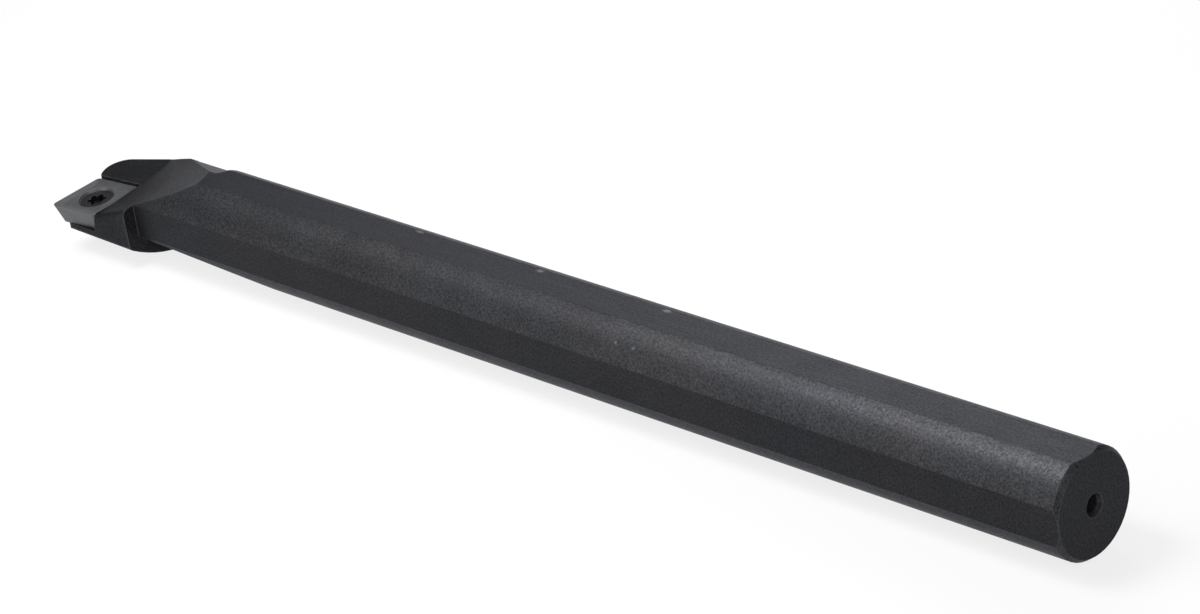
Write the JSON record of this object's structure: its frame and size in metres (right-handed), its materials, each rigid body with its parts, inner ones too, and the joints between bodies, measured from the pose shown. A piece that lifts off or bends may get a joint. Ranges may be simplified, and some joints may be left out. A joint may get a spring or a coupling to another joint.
{
  "type": "boring bar",
  "caption": "Round steel boring bar with a relieved neck and an offset head that carries a rhombic cutting insert held by one countersunk screw.",
  "frame": {"origin": "centre of the shank's rear face", "axes": "+X along the shank from the rear face to the insert, +Y towards the side that cuts, +Z out of the top flat and the insert's rake face"},
  "size_m": [0.2037, 0.0187, 0.0155],
  "materials": {
    "dark_steel": "blackened, satin",
    "carbide": "ground carbide, satin",
    "screw_steel": "blackened"
  },
  "bodies": {
    "root": {"bar": "dark_steel", "insert": "carbide", "insert_screw": "screw_steel"}
  },
  "joints": []
}
